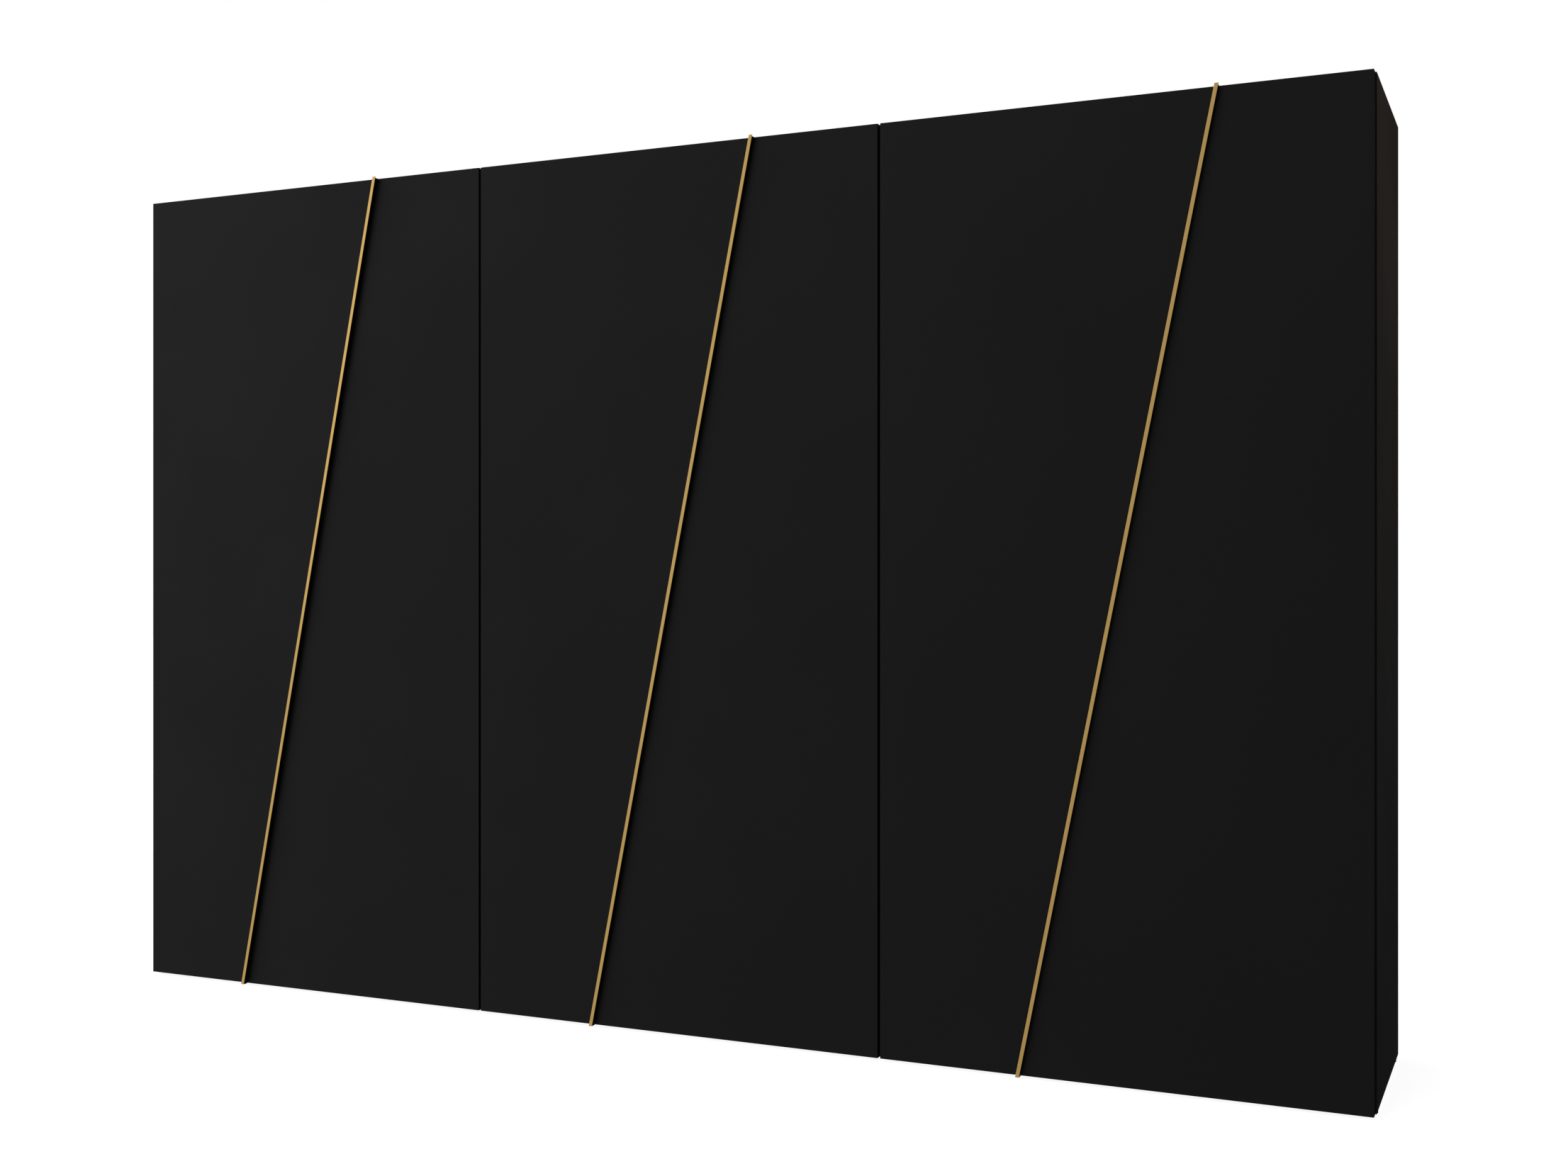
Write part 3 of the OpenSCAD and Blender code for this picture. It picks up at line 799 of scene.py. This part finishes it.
class FastenersOperator(bpy.types.Operator):
    """Screws, cams and bolts with cross recesses"""

    bl_idname = "wardrobe.fasteners"
    bl_label = "Fasteners"

    def execute(self, context):
        fasteners("screws", BOARD_SCREW)
        for node in nodes_named("strip_screws_"):
            fasteners(node, STRIP_SCREW)
        fasteners("cam_housings", CAM, "cam_zinc", upward=True)
        self.joining_bolts("section_bolts")
        eased("cam_bolts", CAM_BOLT_EDGE, "cam_zinc", shortest=0, segments=2)
        return {"FINISHED"}

    def joining_bolts(self, node):
        """Bolts with a head at each end."""
        half_turn = Matrix.Rotation(math.pi, 4, "X")
        places = []
        for points in solids_of(node):
            place, length = head_place(points)
            places += [place, place @ Matrix.Translation((0, 0, -length)) @ half_turn]
        mesh = copies(recessed_head(JOINING_BOLT, length / 2), places)
        stand_for(make_piece(node + "_headed", mesh, SLOT_OF[node]), node)


class FittingsOperator(bpy.types.Operator):
    """Hanging rails and sockets, shelf pins, glides, wall brackets and bumpers"""

    bl_idname = "wardrobe.fittings"
    bl_label = "Fittings"

    def execute(self, context):
        width = context.scene.wardrobe_sizes.metal_edge
        eased("hanging_rails", width, shortest=0.5 * MM, segments=2)
        for node, (rounding, shortest, segments) in FITTINGS.items():
            eased(node, rounding, shortest=shortest, segments=segments)
        return {"FINISHED"}


class StageOperator(bpy.types.Operator):
    """Pale floor, soft lights and the camera"""

    bl_idname = "wardrobe.stage"
    bl_label = "Stage"

    def execute(self, context):
        stage = context.scene.wardrobe_stage
        self.make_floor(stage)
        self.make_lights(stage)
        self.make_surround(context.scene, stage)
        self.make_camera(context.scene, stage)
        context.scene.view_settings.view_transform = "Standard"
        return {"FINISHED"}

    def make_floor(self, stage):
        """A wide round floor that lights nothing but itself."""
        mesh = bmesh.new()
        bmesh.ops.create_circle(mesh, cap_ends=True, segments=96, radius=stage.floor_radius)
        floor = make_piece("floor", mesh, "studio_floor")
        floor.visible_diffuse = False
        floor.visible_glossy = False

    def make_lights(self, stage):
        """A soft light on the left, and one above that the gloss doesn't show."""
        self.area_light("key_light", *KEY_LIGHT, stage.key_power)
        self.area_light("top_light", *TOP_LIGHT, stage.top_power, in_gloss=False)

    def area_light(self, name, place, target, size, power, in_gloss=True):
        """An oblong light that faces its target."""
        light = bpy.data.lights.new(name, "AREA")
        light.shape = "RECTANGLE"
        light.size, light.size_y = size
        light.energy = power
        lamp = bpy.data.objects.new(name, light)
        bpy.context.scene.collection.objects.link(lamp)
        lamp.location = place
        lamp.rotation_euler = (Vector(target) - Vector(place)).to_track_quat("-Z", "Y").to_euler()
        lamp.visible_glossy = in_gloss

    def make_surround(self, scene, stage):
        """White to the camera; as a light, soft, and brighter on the left and in front."""
        world = bpy.data.worlds.new("surround")
        scene.world = world
        world.use_nodes = True
        nodes = Nodes(world.node_tree)
        way = nodes.signal("ShaderNodeTexCoord", output="Generated")
        way = nodes.node("ShaderNodeSeparateXYZ", sockets={0: way})
        across, away, up = (Signal(nodes, way.outputs[letter]) for letter in "XYZ")
        light = across.ramp(-1.0, 0.9, stage.light_left, stage.light_right)
        behind = up.ramp(-0.25, 0.25, 0.5 * stage.light_behind, stage.light_behind)
        light = light * (1 - (1 - behind) * away.ramp(-0.1, 0.9)) * up.ramp(-0.6, 0.1, 0.72, 1.0)
        warmth = up.ramp(-0.05, 0.25) * away.ramp(0.3, 0.9)
        tint = nodes.mix(warmth, WHITE, (*stage.warm_tint, 1))
        lighting = nodes.signal("ShaderNodeBackground", sockets={"Color": tint, "Strength": light})
        seen = nodes.signal("ShaderNodeBackground", sockets={"Color": WHITE})
        camera_ray = nodes.signal("ShaderNodeLightPath", output="Is Camera Ray")
        mixed = nodes.signal("ShaderNodeMixShader", sockets={0: camera_ray, 1: lighting, 2: seen})
        nodes.feed(world.node_tree.nodes["World Output"].inputs[0], mixed)

    def make_camera(self, scene, stage):
        """The camera, placed from the right side and the leaves' faces."""
        data = bpy.data.cameras.new("camera")
        data.lens = stage.lens
        data.sensor_width = stage.sensor
        data.shift_x, data.shift_y = stage.shift_x, stage.shift_y
        data.clip_end = 200.0
        camera = bpy.data.objects.new("camera", data)
        scene.collection.objects.link(camera)
        camera.location = (
            CAD_HIGH.x + stage.camera_aside, LEAF_LOW.y - stage.camera_away, stage.camera_height)
        camera.rotation_euler = (math.pi / 2, 0.0, stage.camera_azimuth)
        scene.camera = camera


OPERATORS = (
    LeavesOperator, StripsOperator, CarcassOperator, HingesOperator, FastenersOperator,
    FittingsOperator, StageOperator,
)


class WardrobePanel(bpy.types.Panel):
    """Lists the wardrobe's builders and settings."""

    bl_label = "Wardrobe"
    bl_idname = "VIEW3D_PT_wardrobe"
    bl_space_type = "VIEW_3D"
    bl_region_type = "UI"
    bl_category = "Wardrobe"

    def draw(self, context):
        for operator in OPERATORS:
            self.layout.operator(operator.bl_idname)
        for group in ("wardrobe_look", "wardrobe_sizes", "wardrobe_stage"):
            settings = getattr(context.scene, group)
            box = self.layout.box()
            for name in settings.__annotations__:
                box.prop(settings, name)


CLASSES = (WardrobeLook, WardrobeSizes, WardrobeStage) + OPERATORS + (WardrobePanel,)


def register():
    """Adds the classes and the scene's settings."""
    for cls in CLASSES:
        bpy.utils.register_class(cls)
    bpy.types.Scene.wardrobe_look = PointerProperty(type=WardrobeLook)
    bpy.types.Scene.wardrobe_sizes = PointerProperty(type=WardrobeSizes)
    bpy.types.Scene.wardrobe_stage = PointerProperty(type=WardrobeStage)


def unregister():
    """Takes them away again."""
    for group in ("wardrobe_look", "wardrobe_sizes", "wardrobe_stage"):
        delattr(bpy.types.Scene, group)
    for cls in reversed(CLASSES):
        bpy.utils.unregister_class(cls)


def main():
    """Builds the wardrobe and its stage."""
    register()
    bpy.ops.wardrobe.leaves()
    bpy.ops.wardrobe.strips()
    bpy.ops.wardrobe.carcass()
    bpy.ops.wardrobe.hinges()
    bpy.ops.wardrobe.fasteners()
    bpy.ops.wardrobe.fittings()
    bpy.ops.wardrobe.stage()


if __name__ == "__main__":
    main()
